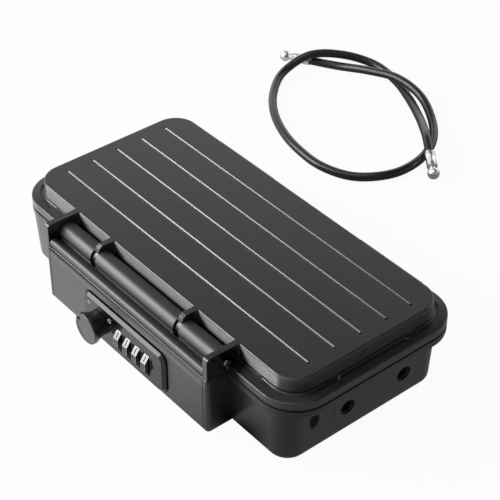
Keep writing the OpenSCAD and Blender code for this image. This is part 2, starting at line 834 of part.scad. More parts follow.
module frame_screws() {
    color("#9a9da3")
        frame_screw_places()
            screw(screw_d - 2 * fix, frame_t + 1.9, head_d, head_t);
}

module dial_axle() {
    color("#b4b7bc")
        rod_x(axle_d / 2, frame_left, frame_right, axle_y, axle_z);
}

// A ten sided wheel with one flat facing the front
module dial_wheel(i) {
    x0 = dial_xs[i - 1] - wheel_side;
    color("#c9cbce")
        difference() {
            translate([x0, axle_y, axle_z])
                rotate([90, 0, 90])
                    rotate([0, 0, 18])
                        cylinder(r = dial_r, h = dial_w, $fn = 10);
            rod_x(axle_d / 2 + run, x0 - eps, x0 + dial_w + eps, axle_y, axle_z);
        }
}

// The disc that turns with a wheel, with its notch at the bottom and a spacing collar
module code_disc(i) {
    x0 = dial_xs[i - 1] + wheel_side;
    color("#a5a8ad")
        difference() {
            union() {
                rod_x(disc_r, x0, x0 + disc_t, axle_y, axle_z);
                rod_x(axle_d / 2 + 1.2, x0, dial_xs[i - 1] + collar_end, axle_y, axle_z);
            }
            rod_x(axle_d / 2 + run, x0 - eps, x0 + dial_pitch, axle_y, axle_z);
            block([x0 - eps, finger_y - 0.3, axle_z - disc_r - eps],
                [x0 + disc_t + eps, finger_y + finger_w + 0.3, axle_z - disc_r + notch_d]);
        }
}

// A leaf behind the wheels, cut into one finger per wheel
module detent_spring() {
    leaf_t = 0.35;
    leaf_end = 6;
    leaf_root = 2.5;
    y1 = frame_back_y - frame_back_t;
    color("#c2c5ca")
        union() {
            block([dial_xs[0] - wheel_side, y1 - leaf_t, axle_z - leaf_end],
                [dial_xs[3] + wheel_side, y1, axle_z - leaf_root]);
            for (x = dial_xs)
                block([x - wheel_side, y1 - leaf_t, axle_z - leaf_root - eps],
                    [x + wheel_side, y1, axle_z + leaf_end]);
        }
}

// A bar under the discs with one finger per disc, and a yoke round the spindle's eccentric collar
module fence_bar() {
    color("#7f8288")
        difference() {
            union() {
                block([knob_x - yoke_half, finger_y, fence_z],
                    [dial_x + 4 * dial_pitch - 2, finger_y + finger_w, fence_z + fence_t]);
                for (x = dial_xs)
                    translate([x + wheel_side + disc_t / 2, finger_y])
                        block([-finger_t / 2, 0, fence_z], [finger_t / 2, finger_w, finger_top]);
                block([knob_x - yoke_half, finger_y, fence_z],
                    [knob_x + yoke_half, finger_y + yoke_t, lock_z + yoke_half]);
            }
            rod_y(collar_r + 1.5, finger_y - eps, finger_y + yoke_t + eps, knob_x, lock_z);
        }
}

module knob() {
    back = plate_y - knob_gap;
    rim = knob_d / 2;
    foot = knob_foot_d / 2;
    color("#26282c")
        difference() {
            translate([knob_x, back, lock_z])
                rotate([90, 0, 0])
                    rotate_extrude($fn = 96)
                        polygon(concat([[0, 0], [foot, 0], [foot, knob_h * 0.3], [rim - 0.5, knob_h * 0.62]],
                            [[rim, knob_h * 0.72]], arc([rim - 0.8, knob_h - 0.8], 0.8, 0, 90, 4),
                            [[rim - 1.6, knob_h], [rim - 2, knob_h - 0.3], [0, knob_h - 0.3]]));
            // Finger dimple that points at the closed mark
            translate([knob_x - 5.9, back - knob_h + 0.3, lock_z + 4.4])
                rotate([-90, 0, 0])
                    rotate_extrude()
                        polygon(concat([[0, -1], [dimple_r, -1]], arc([0, 0], dimple_r, 0, 90, 5)));
            rod_y(spindle_d / 2 + fix, back - knob_h / 2, back + eps, knob_x, lock_z);
        }
}

// The spindle with its eccentric collar
module knob_spindle() {
    color("#b4b7bc")
        union() {
            rod_y(spindle_d / 2, plate_y - knob_gap - knob_h / 2 + 0.1, cam_y, knob_x, lock_z);
            rod_y(collar_r, finger_y, finger_y + yoke_t, knob_x - fence_rise * 0.9, lock_z);
        }
}

module locking_cam() {
    color("#9fa2a8")
        difference() {
            union() {
                rod_y(cam_hub_r, cam_y, cam_y + cam_t, knob_x, lock_z);
                block([knob_x - cam_w / 2, cam_y, lock_z], [knob_x + cam_w / 2, cam_y + cam_t, cam_tip_z]);
            }
            rod_y(cam_screw_d / 2 + fix, cam_y - eps, cam_y + cam_t + eps, knob_x, lock_z);
        }
}

module cam_screw() {
    color("#9a9da3")
        translate([knob_x, cam_y + cam_t, lock_z])
            screw(cam_screw_d, cam_t - 0.1, cam_head_d, 1.4);
}

module cable_bush(y) {
    color("#1b1c1e")
        difference() {
            union() {
                rod_x(hole_d / 2 - fix, wall_in_x - bush_flange_t, wall_out_x - bush_recess, y, hole_z);
                rod_x(bush_flange_r, wall_in_x - bush_flange_t, wall_in_x, y, hole_z);
            }
            rod_x(bush_bore / 2, wall_in_x - bush_flange_t - eps, wall_out_x, y, hole_z);
        }
}

// A plate inside the wall whose open slots hold the cable's necks behind their balls
catch_posts = [for (s = [-1, 1]) (hole_front_y + hole_rear_y) / 2 + s * post_off];

module cable_catch() {
    color("#8d9096")
        union() {
            difference() {
                block([catch_x, hole_front_y - catch_side, hole_z - catch_side],
                    [catch_x + catch_t, hole_rear_y + catch_side, hole_z + catch_up]);
                for (y = hole_ys) {
                    rod_x(neck_d / 2 + 0.25, catch_x - eps, catch_x + catch_t + eps, y, hole_z);
                    block([catch_x - eps, y - neck_d / 2 - 0.25, hole_z],
                        [catch_x + catch_t + eps, y + neck_d / 2 + 0.25, hole_z + catch_up + eps]);
                }
            }
            for (y = catch_posts) {
                rod_x(post_r, catch_x + catch_t - 0.5, wall_in_x, y, hole_z);
                rod_x(post_pin_r, wall_in_x - 0.5, wall_in_x + 2, y, hole_z);
            }
        }
}

module base_foam() {
    color("#3b3d42")
        difference() {
            translate([0, -rear_in / 2])
                swept([[cavity_o - inner_r, floor_t], [cavity_o - pad_gap, floor_t + inner_r],
                    [cavity_o - pad_gap, floor_t + base_pad_t]], half_x, half_y - rear_in / 2);
            // Room for the cover and the catch
            block([-cover_half - pad_gap, cavity_y, floor_t - eps],
                [cover_half + pad_gap, cavity_y + cover_t + head_t + pad_gap, case_h]);
        }
}

module lid_foam() {
    color("#3b3d42")
        slab(cavity_o - pad_gap, lid_in_z - lid_pad_t, lid_in_z);
}

// The cable as one tube swept along a smooth curve through the route's points
cable_sides = 6;
cable_steps = 2;

function route_point(i) =
    i < 0 ? 2 * cable_route[0] - cable_route[1] :
    i >= len(cable_route) ? 2 * cable_route[len(cable_route) - 1] - cable_route[len(cable_route) - 2] :
    cable_route[i];

function curve_at(i, t) =
    let (a = route_point(i - 1), b = route_point(i), c = route_point(i + 1), d = route_point(i + 2))
    (2 * b + (c - a) * t + (2 * a - 5 * b + 4 * c - d) * t * t + (3 * b - a - 3 * c + d) * t * t * t) / 2;

function unit(v) = v / norm(v);

cable_path = concat(
    [for (i = [0:len(cable_route) - 2], k = [0:cable_steps - 1]) curve_at(i, k / cable_steps)],
    [cable_route[len(cable_route) - 1]]);

function path_dir(i) =
    i == 0 ? unit(cable_route[1] - cable_route[0]) :
    i == len(cable_path) - 1 ? unit(cable_route[len(cable_route) - 1] - cable_route[len(cable_route) - 2]) :
    unit(cable_path[i + 1] - cable_path[i - 1]);

function ring(i, r) =
    let (t = path_dir(i), side = unit(cross(t, [0, 0, 1])), up = cross(side, t), turn = 360 / cable_sides)
    [for (k = [0:cable_sides - 1]) cable_path[i] + r * (cos(turn * k) * side + sin(turn * k) * up)];

// The least open gap between two strands, measured on points that lie over a quarter turn apart
cable_fine = [for (i = [0:len(cable_route) - 2], k = [0:7]) curve_at(i, k / 8)];
strand_gap = min([for (i = [0:len(cable_fine) - 33], j = [i + 32:len(cable_fine) - 1])
    norm(cable_fine[i] - cable_fine[j])]) - cable_d;
echo(strand_gap = strand_gap);

module security_cable() {
    n = len(cable_path);
    m = cable_sides;
    color("#141517")
        polyhedron(
            points = [for (i = [0:n - 1]) each ring(i, cable_d / 2)],
            faces = concat(
                [for (i = [0:n - 2], k = [0:m - 1]) each [
                    [i * m + k, (i + 1) * m + k, (i + 1) * m + (k + 1) % m],
                    [i * m + k, (i + 1) * m + (k + 1) % m, i * m + (k + 1) % m]]],
                [[for (k = [0:m - 1]) k]],
                [[for (k = [m - 1:-1:0]) (n - 1) * m + k]]));
}

// A sleeve, neck and ball that carry on from one end of the cable in direction d
module ferrule(p, d) {
    color("#c4c7cc")
        translate(p)
            rotate([0, acos(d[2]), atan2(d[1], d[0])])
                union() {
                    cylinder(d = sleeve_d, h = sleeve_len);
                    cylinder(d = neck_d, h = ball_at);
                    translate([0, 0, ball_at])
                        sphere(d = ball_d);
                }
}

module cable_ferrule_1() {
    ferrule(cable_route[0], unit(cable_route[0] - cable_route[1]));
}

module cable_ferrule_2() {
    last = len(cable_route) - 1;
    ferrule(cable_route[last], unit(cable_route[last] - cable_route[last - 1]));
}

base_shell();
lock_housing();
port_plate();
lid_shell();
gasket();
hinge_pins();
latch_flap();
latch_pin();
lock_plate();
lock_cover();
cover_screws();
lock_frame();
frame_screws();
knob();
knob_spindle();
locking_cam();
cam_screw();
dial_axle();
for (i = [1:4]) dial_wheel(i);
for (i = [1:4]) code_disc(i);
detent_spring();
fence_bar();
cable_bush(hole_front_y);  // cable_bush_front
cable_bush(hole_rear_y);  // cable_bush_rear
cable_catch();
base_foam();
lid_foam();
security_cable();
cable_ferrule_1();
cable_ferrule_2();
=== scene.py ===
import json
import math

import bmesh
import bpy
from mathutils import Matrix, Vector

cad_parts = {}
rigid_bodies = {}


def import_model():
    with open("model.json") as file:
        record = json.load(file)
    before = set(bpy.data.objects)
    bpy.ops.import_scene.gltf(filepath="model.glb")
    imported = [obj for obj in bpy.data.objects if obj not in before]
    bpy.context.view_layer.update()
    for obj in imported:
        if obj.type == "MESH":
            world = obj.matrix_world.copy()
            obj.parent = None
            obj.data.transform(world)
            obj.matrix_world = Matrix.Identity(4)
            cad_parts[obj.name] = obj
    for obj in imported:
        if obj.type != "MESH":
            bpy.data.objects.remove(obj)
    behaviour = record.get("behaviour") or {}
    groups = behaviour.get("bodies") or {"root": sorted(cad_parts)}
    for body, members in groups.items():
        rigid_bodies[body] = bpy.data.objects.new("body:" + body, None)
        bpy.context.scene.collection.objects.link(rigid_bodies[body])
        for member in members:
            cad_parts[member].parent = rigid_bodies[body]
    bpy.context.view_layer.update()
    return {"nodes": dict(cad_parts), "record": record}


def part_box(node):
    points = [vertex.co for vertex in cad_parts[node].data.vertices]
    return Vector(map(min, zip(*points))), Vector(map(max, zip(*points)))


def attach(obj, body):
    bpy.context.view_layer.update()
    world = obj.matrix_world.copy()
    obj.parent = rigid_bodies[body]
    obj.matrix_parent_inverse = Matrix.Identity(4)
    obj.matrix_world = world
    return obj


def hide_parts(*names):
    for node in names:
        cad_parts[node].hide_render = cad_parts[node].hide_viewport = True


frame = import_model()
mm = 0.001
recordBodies = frame["record"]["behaviour"]["bodies"]


def bodyOf(node):
    return next(body for body, nodes in recordBodies.items() if node in nodes)


def boxOf(node):
    low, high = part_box(node)
    return low, high, (low + high) / 2


def newObject(name, mesh):
    piece = bpy.data.objects.new(name, mesh)
    bpy.context.scene.collection.objects.link(piece)
    return piece


def meshFrom(name, points, faces):
    mesh = bpy.data.meshes.new(name)
    mesh.from_pydata(points, [], faces)
    mesh.update()
    return mesh


# Node helpers: a value is a number or colour for the socket, or another node's output
def feed(tree, socket, value):
    if isinstance(value, bpy.types.NodeSocket):
        tree.links.new(value, socket)
    else:
        socket.default_value = value


def addNode(tree, kind, **values):
    node = tree.nodes.new(kind)
    for key, value in values.items():
        setattr(node, key, value)
    return node


def calculate(tree, operation, *values, clamp=False):
    node = addNode(tree, "ShaderNodeMath", operation=operation, use_clamp=clamp)
    for socket, value in zip(node.inputs, values):
        feed(tree, socket, value)
    return node.outputs[0]


def calculateVector(tree, operation, *values):
    node = addNode(tree, "ShaderNodeVectorMath", operation=operation)
    for socket, value in zip(node.inputs, values):
        feed(tree, socket, value)
    return node


def splitOf(tree, vector):
    node = addNode(tree, "ShaderNodeSeparateXYZ")
    tree.links.new(vector, node.inputs[0])
    return node.outputs


def ramp(tree, value, start, end, low=0.0, high=1.0, smooth=False):
    node = addNode(tree, "ShaderNodeMapRange", interpolation_type="SMOOTHSTEP" if smooth else "LINEAR")
    tree.links.new(value, node.inputs["Value"])
    for label, level in zip(("From Min", "From Max", "To Min", "To Max"), (start, end, low, high)):
        feed(tree, node.inputs[label], level)
    return node.outputs["Result"]


# A geometry node tree with named inputs, and a plain mesh made by it
def newTree(name, inputs):
    tree = bpy.data.node_groups.new(name, "GeometryNodeTree")
    tree.interface.new_socket("Geometry", in_out="INPUT", socket_type="NodeSocketGeometry")
    for label, kind in inputs:
        tree.interface.new_socket(label, in_out="INPUT", socket_type=kind)
    tree.interface.new_socket("Geometry", in_out="OUTPUT", socket_type="NodeSocketGeometry")
    return tree, tree.nodes.new("NodeGroupInput"), tree.nodes.new("NodeGroupOutput")


def settle(piece):
    seen = piece.evaluated_get(bpy.context.evaluated_depsgraph_get())
    finished = bpy.data.meshes.new_from_object(seen)
    piece.modifiers.clear()
    piece.data = finished
    return finished


def grow(piece, tree, values):
    maker = piece.modifiers.new(tree.name, "NODES")
    maker.node_group = tree
    for item in tree.interface.items_tree:
        if item.in_out == "INPUT" and item.name in values:
            maker[item.identifier] = values[item.name]
    return settle(piece)


# Camera at the photograph's angle
cameraSet = {
    "lens": 111.95,
    "sensor": 36,
    "nearest": 50,
    "target": (18.34, -0.32, 54),
    "distance": 861.4,
    "azimuth": 50.595,
    "elevation": 38.397,
}


def makeCamera(look):
    turn, tilt = math.radians(look["azimuth"]), math.radians(look["elevation"])
    back = Vector((math.sin(turn) * math.cos(tilt), -math.cos(turn) * math.cos(tilt), math.sin(tilt)))
    data = bpy.data.cameras.new("photoCamera")
    data.lens = look["lens"]
    data.sensor_width = look["sensor"]
    data.clip_start = look["nearest"] * mm
    camera = newObject("photoCamera", data)
    camera.location = (Vector(look["target"]) + back * look["distance"]) * mm
    camera.rotation_euler = (-back).to_track_quat("-Z", "Y").to_euler()
    bpy.context.scene.camera = camera


makeCamera(cameraSet)
bpy.context.scene.view_settings.view_transform = "Standard"
print("camera stands")


# Shader helpers
def newMaterial(name):
    material = bpy.data.materials.new(name)
    material.use_nodes = True
    nodes = material.node_tree.nodes
    nodes.clear()
    output = nodes.new("ShaderNodeOutputMaterial")
    shader = nodes.new("ShaderNodeBsdfPrincipled")
    material.node_tree.links.new(shader.outputs["BSDF"], output.inputs["Surface"])
    return material, shader


def newGroup(name, inputs, outputs):
    group = bpy.data.node_groups.new(name, "ShaderNodeTree")
    for label, kind, value in inputs:
        socket = group.interface.new_socket(label, in_out="INPUT", socket_type=kind)
        if value is not None:
            socket.default_value = value
    for label, kind in outputs:
        group.interface.new_socket(label, in_out="OUTPUT", socket_type=kind)
    return group, group.nodes.new("NodeGroupInput").outputs, group.nodes.new("NodeGroupOutput").inputs


def placeGroup(tree, group, values):
    node = addNode(tree, "ShaderNodeGroup", node_tree=group)
    for label, value in values.items():
        feed(tree, node.inputs[label], value)
    return node


def noise(tree, where, scale, detail):
    node = addNode(tree, "ShaderNodeTexNoise")
    tree.links.new(where, node.inputs["Vector"])
    feed(tree, node.inputs["Scale"], scale)
    node.inputs["Detail"].default_value = detail
    return node.outputs["Fac"]


def cells(tree, where, scale):
    node = addNode(tree, "ShaderNodeTexVoronoi", feature="F1")
    tree.links.new(where, node.inputs["Vector"])
    node.inputs["Scale"].default_value = scale
    return node.outputs["Distance"]


def blended(tree, share, first, second, way="MIX"):
    node = addNode(tree, "ShaderNodeMix", data_type="RGBA", blend_type=way)
    for socket, value in ((0, share), (6, first), (7, second)):  # factor, A and B of the colour kind
        feed(tree, node.inputs[socket], value)
    return node.outputs[2]


def bumped(tree, height, distance, strength=1, normal=None):
    node = addNode(tree, "ShaderNodeBump")
    tree.links.new(height, node.inputs["Height"])
    node.inputs["Distance"].default_value = distance
    feed(tree, node.inputs["Strength"], strength)
    if normal:
        tree.links.new(normal, node.inputs["Normal"])
    return node.outputs["Normal"]


finishOutputs = [
    ("Color", "NodeSocketColor"), ("Roughness", "NodeSocketFloat"), ("Normal", "NodeSocketVector"),
    ("Gloss", "NodeSocketFloat"),
]

# Moulded grain: a fine sparkle of bumps, slow clouds of sheen and a few specks of dust.
# Only upright walls and edges carry the gloss, and they can shade as if they leaned back.
grainSet = {
    "flatFrom": 0.95,
    "grainDetail": 3, "grainDepth": 0.04,
    "cloudScale": 18, "cloudDetail": 4,
    "speckScale": 420, "speckRim": 0.10, "speckCore": 0.03, "speckColor": (0.45, 0.46, 0.48, 1),
}


def makeGrainGroup(look):
    group, given, result = newGroup(
        "mouldedGrain",
        [
            ("Base", "NodeSocketColor", (0.03, 0.03, 0.03, 1)),
            ("Wall Gloss", "NodeSocketFloat", 0.0),
            ("Gloss Full At", "NodeSocketFloat", 0.8),
            ("Sheen Clouds", "NodeSocketFloat", 0.05),
            ("Roughness", "NodeSocketFloat", 0.35),
            ("Grain Scale", "NodeSocketFloat", 2200),
            ("Grain Height", "NodeSocketFloat", 0.12),
            ("Dust", "NodeSocketFloat", 0.03),
            ("Slope", "NodeSocketFloat", 0.0),
            ("Slope From", "NodeSocketFloat", 0.0),
            ("Slope To", "NodeSocketFloat", 0.0),
            ("Slope Front", "NodeSocketFloat", 0.0),
        ],
        finishOutputs,
    )
    link = group.links.new
    place = addNode(group, "ShaderNodeTexCoord").outputs
    flat = calculate(group, "ABSOLUTE", splitOf(group, place["Normal"])["Z"])
    upright = ramp(group, flat, look["flatFrom"], given["Gloss Full At"])
    link(calculate(group, "MULTIPLY", upright, given["Wall Gloss"], clamp=True), result["Gloss"])

    clouds = noise(group, place["Object"], look["cloudScale"], look["cloudDetail"])
    swing = calculate(group, "MULTIPLY", calculate(group, "SUBTRACT", clouds, 0.5), given["Sheen Clouds"])
    link(calculate(group, "ADD", swing, given["Roughness"], clamp=True), result["Roughness"])

    specks = ramp(group, cells(group, place["Object"], look["speckScale"]), look["speckRim"], look["speckCore"])
    dust = calculate(group, "MULTIPLY", specks, given["Dust"], clamp=True)
    link(blended(group, dust, given["Base"], look["speckColor"]), result["Color"])

    # The slope lies between two heights and behind one depth
    spot = splitOf(group, place["Object"])
    below = calculate(group, "MINIMUM", spot["Z"], given["Slope To"])
    above = calculate(group, "MAXIMUM", calculate(group, "SUBTRACT", below, given["Slope From"]), 0.0)
    behind = calculate(group, "GREATER_THAN", spot["Y"], given["Slope Front"])
    fall = calculate(group, "MULTIPLY", calculate(group, "MULTIPLY", above, behind), -1.0)
    lean = bumped(group, calculate(group, "MULTIPLY", fall, given["Slope"]), 1)
    grain = noise(group, place["Object"], given["Grain Scale"], look["grainDetail"])
    link(bumped(group, grain, look["grainDepth"] * mm, given["Grain Height"], lean), result["Normal"])
    return group


# Painted shade: rounded spots, given by centre and half sizes in metres, where the colour is painted near
# black, the surface roughened and stripped of gloss, and a bump dents it.
# Shade-only spots get only the painted near-black colour and keep their sheen.
paintedShadeSet = {"rim": 1.0, "full": 0.75, "color": (0.001, 0.001, 0.001, 1), "depth": 0.4}


def makeHollowGroup(name, spots, paintedShadeOnlySpots, look):
    group, given, result = newGroup(
        name,
        [("Color", "NodeSocketColor", (0.01, 0.01, 0.01, 1)), ("Roughness", "NodeSocketFloat", 0.4),
         ("Normal", "NodeSocketVector", None), ("Gloss", "NodeSocketFloat", 0.0)],
        finishOutputs,
    )
    link = group.links.new
    place = addNode(group, "ShaderNodeTexCoord").outputs["Object"]

    def coveredBy(places, covered):
        for centre, half in places:
            apart = calculateVector(group, "SUBTRACT", place, centre).outputs[0]
            scaled = calculateVector(group, "DIVIDE", apart, half).outputs[0]
            reach = calculateVector(group, "LENGTH", scaled).outputs["Value"]
            inside = ramp(group, reach, look["rim"], look["full"], smooth=True)
            covered = calculate(group, "MAXIMUM", inside, covered)
        return covered

    deepest = coveredBy(spots, 0.0)
    bare = calculate(group, "SUBTRACT", 1.0, deepest)
    # painted shade: the colour goes near black inside both kinds of spot
    link(blended(group, coveredBy(paintedShadeOnlySpots, deepest), given["Color"], look["color"]), result["Color"])
    link(calculate(group, "MAXIMUM", given["Roughness"], deepest), result["Roughness"])
    link(bumped(group, bare, look["depth"] * mm, 1, given["Normal"]), result["Normal"])
    link(calculate(group, "MULTIPLY", given["Gloss"], bare), result["Gloss"])
    return group


# Brushed steel: fine lines along one direction that change the sheen
brushSet = {"detail": 2, "dark": 0.75, "light": 1.1, "roughSwing": 0.2, "lineDepth": 0.03}


def makeBrushGroup(look):
    group, given, result = newGroup(
        "brushedLines",
        [
            ("Base", "NodeSocketColor", (0.6, 0.6, 0.62, 1)),
            ("Roughness", "NodeSocketFloat", 0.3),
            ("Line Scale", "NodeSocketVector", (60, 3000, 3000)),
            ("Line Depth", "NodeSocketFloat", 0.15),
        ],
        finishOutputs[:3],
    )
    link = group.links.new
    place = addNode(group, "ShaderNodeTexCoord").outputs["Object"]
    stretched = calculateVector(group, "MULTIPLY", place, given["Line Scale"]).outputs[0]
    lines = noise(group, stretched, 1, look["detail"])
    shade = ramp(group, lines, 0.0, 1.0, look["dark"], look["light"])
    link(blended(group, 1, given["Base"], shade, "MULTIPLY"), result["Color"])
    rough = calculate(group, "MULTIPLY_ADD", lines, look["roughSwing"], given["Roughness"], clamp=True)
    link(rough, result["Roughness"])
    link(bumped(group, lines, look["lineDepth"] * mm, given["Line Depth"]), result["Normal"])
    return group


grainGroup = makeGrainGroup(grainSet)
brushGroup = makeBrushGroup(brushSet)


def wire(material, shader, node):
    for label, socket in (("Color", "Base Color"), ("Roughness", "Roughness"), ("Normal", "Normal")):
        material.node_tree.links.new(node.outputs[label], shader.inputs[socket])


def plastic(name, base, rough, clouds=0.06, scale=2200, height=0.12, dust=0.02, sheen=0.5, gloss=0.0,
            fullAt=0.8, coatIor=1.5, coatRough=0.25, slope=(0, 0, 0, 0), paintedShadeSpots=(), paintedShadeOnly=()):
    material, shader = newMaterial(name)
    tree = material.node_tree
    node = placeGroup(tree, grainGroup, {
        "Base": (*base, 1), "Roughness": rough, "Sheen Clouds": clouds, "Dust": dust,
        "Grain Scale": scale, "Grain Height": height, "Wall Gloss": gloss, "Gloss Full At": fullAt,
        **dict(zip(("Slope", "Slope From", "Slope To", "Slope Front"), slope)),
    })
    if paintedShadeSpots:
        group = makeHollowGroup(name + "PaintedShade", paintedShadeSpots, paintedShadeOnly, paintedShadeSet)
        node = placeGroup(tree, group, {label: node.outputs[label] for label, kind in finishOutputs})
    wire(material, shader, node)
    shader.inputs["Specular IOR Level"].default_value = sheen
    if gloss:
        tree.links.new(node.outputs["Gloss"], shader.inputs["Coat Weight"])
        shader.inputs["Coat Roughness"].default_value = coatRough
        shader.inputs["Coat IOR"].default_value = coatIor
    return material


def steel(name, base, rough, lines=(60, 3000, 3000), depth=0.15):
    material, shader = newMaterial(name)
    node = placeGroup(material.node_tree, brushGroup, {
        "Base": (*base, 1), "Roughness": rough, "Line Scale": lines, "Line Depth": depth,
    })
    wire(material, shader, node)
    shader.inputs["Metallic"].default_value = 1
    return material


# Painted shade spots in metres; the seam's spot is so wide that it is a thin band of painted shade all round
# the case, the side notch is a painted dark recess with a bump dent, the groove tips get painted dark ends and
# the ears' outer sides are painted darker
seamShade = ((0, 0, 0.0387), (9, 9, 0.0008))
sideNotchShade = ((0.1215, -0.0402, 0.0235), (0.006, 0.0044, 0.0076))
earSideShade = [((side * 0.0768, -0.0662, 0.0425), (0.0085, 0.0185, 0.0145)) for side in (1, -1)]
grooveTipShade = [((0.1088, 0.018 * k, 0.0537), (0.0015, 0.0014, 0.002)) for k in range(-2, 3)]
# A slope is its fall per length, lowest height, highest height and front end
plasticSet = {
    "casePlastic": {
        "base": (0.005, 0.0051, 0.0055), "rough": 0.36, "gloss": 0.6, "coatIor": 1.9,
        "paintedShadeSpots": [seamShade, sideNotchShade],
    },
    "housingPlastic": {
        "base": (0.004, 0.0041, 0.0044), "rough": 0.42, "gloss": 0.6, "coatIor": 2.0, "coatRough": 0.36,
        "sheen": 0.35, "fullAt": 0.2, "slope": (0.72, 0.0336, 0.0364, -1),
    },
    "lidPlastic": {
        "base": (0.027, 0.0272, 0.028), "rough": 0.28, "gloss": 0.65, "coatIor": 1.9, "coatRough": 0.16,
        "sheen": 0.4, "fullAt": 0.3, "clouds": 0.03, "height": 0.03,
        "slope": (0.92, 0.0455, 0.05345, -0.0558), "paintedShadeSpots": [seamShade, *grooveTipShade], "paintedShadeOnly": earSideShade,
    },
    "latchPlastic": {
        "base": (0.009, 0.0092, 0.0098), "rough": 0.55, "gloss": 0.75, "coatIor": 1.8, "coatRough": 0.56,
    },
    "plateLacquer": {
        "base": (0.003, 0.0031, 0.0034), "rough": 0.4, "gloss": 0.8, "coatIor": 1.6, "coatRough": 0.08,
        "sheen": 0.05, "scale": 3200, "height": 0.15,
    },
    "knobPlastic": {
        "base": (0.006, 0.0061, 0.0065), "rough": 0.36, "gloss": 0.5, "coatIor": 1.8, "coatRough": 0.3,
    },
    "bushPlastic": {"base": (0.03, 0.03, 0.032), "rough": 0.3, "gloss": 1.0},
    "coverPlastic": {"base": (0.02, 0.02, 0.021), "rough": 0.5, "height": 0.25},
    "sealRubber": {"base": (0.018, 0.018, 0.018), "rough": 0.6, "height": 0.2},
    "digitPaint": {"base": (0.004, 0.004, 0.0045), "rough": 0.75, "dust": 0.0},
    "markPaint": {"base": (0.6, 0.605, 0.61), "rough": 0.5, "dust": 0.0},
}
steelSet = {
    "dialSteel": {"base": (0.2, 0.203, 0.208), "rough": 0.06, "lines": (3000, 120, 120), "depth": 0.1},
    "plainSteel": {"base": (0.56, 0.57, 0.59), "rough": 0.28},
    "brightSteel": {"base": (0.8, 0.8, 0.81), "rough": 0.2, "lines": (900, 900, 900), "depth": 0.05},
}
looks = {
    **{name: plastic(name, **values) for name, values in plasticSet.items()},
    **{name: steel(name, **values) for name, values in steelSet.items()},
}
print("materials are mixed")


# Cable: a braided steel rope under a black cover, in one loop on the ground
cableSet = {
    "route": [
        (-172, 211.5, 4), (-153, 222.5, 4), (-131, 230, 8), (-108, 236, 10.5), (-84, 235, 8.5),
        (-62, 225, 4.2), (-44, 208, 3.3), (-34, 186, 3.3), (-34, 162, 3.3), (-47, 141, 3.3),
        (-69, 132, 3.3), (-94, 133, 3.3), (-117, 139, 3.3), (-139, 150, 3.3), (-158, 166, 3.3),
        (-171, 186, 5), (-169, 209, 11), (-156, 229, 9.5), (-138, 243, 4.5), (-114, 241, 3.3),
        (-91, 232, 3.3), (-69, 219.5, 5.5), (-51, 206.5, 9.8), (-41, 199, 11.2), (-30, 191, 8.8),
    ],
    "diameter": 6,
    "cover": 2.95,
    "steps": 10,
    "sides": 28,
    "braidTurns": 10, "braidPitch": 5.5, "braidDepth": 0.12, "braidStrength": 0.6,
    "valley": (0.003, 0.003, 0.0032, 1), "ridge": (0.026, 0.026, 0.028, 1),
    "rough": 0.3, "dust": 0.01, "sheen": 0.3, "coat": 0.3, "coatRough": 0.1,
}


def smoothPath(points, steps):
    points = [Vector(p) for p in points]
    ends = [2 * points[0] - points[1]] + points + [2 * points[-1] - points[-2]]
    path = []
    for a, b, c, d in zip(ends, ends[1:], ends[2:], ends[3:]):
        for k in range(steps):
            t = k / steps
            path.append((2 * b + (c - a) * t + (2 * a - 5 * b + 4 * c - d) * t * t
                         + (3 * b - a - 3 * c + d) * t ** 3) / 2)
    return path + [points[-1]]


def sweepTube(name, path, radius, sides):
    points, faces, corners = [], [], []
    travelled = [0.0]
    for a, b in zip(path, path[1:]):
        travelled.append(travelled[-1] + (b - a).length)
    for i, here in enumerate(path):
        ahead = (path[min(i + 1, len(path) - 1)] - path[max(i - 1, 0)]).normalized()
        side = ahead.cross(Vector((0, 0, 1))).normalized()
        up = side.cross(ahead)
        for k in range(sides):
            turn = 2 * math.pi * k / sides
            points.append(here + radius * (math.cos(turn) * side + math.sin(turn) * up))
    for i in range(len(path) - 1):
        for k in range(sides):
            n = (k + 1) % sides
            faces.append((i * sides + k, (i + 1) * sides + k, (i + 1) * sides + n, i * sides + n))
            corners.append([(k / sides, travelled[i]), (k / sides, travelled[i + 1]),
                            ((k + 1) / sides, travelled[i + 1]), ((k + 1) / sides, travelled[i])])
    last = (len(path) - 1) * sides
    faces.append(tuple(range(sides)))
    corners.append([(k / sides, 0.0) for k in range(sides)])
    faces.append(tuple(last + k for k in reversed(range(sides))))
    corners.append([(k / sides, travelled[-1]) for k in reversed(range(sides))])
    mesh = meshFrom(name, points, faces)
    layer = mesh.uv_layers.new(name="alongCable")
    for face, spots in zip(mesh.polygons, corners):
        for loop, spot in zip(face.loop_indices, spots):
            layer.data[loop].uv = spot
    mesh.shade_smooth()
    return mesh, travelled[-1]


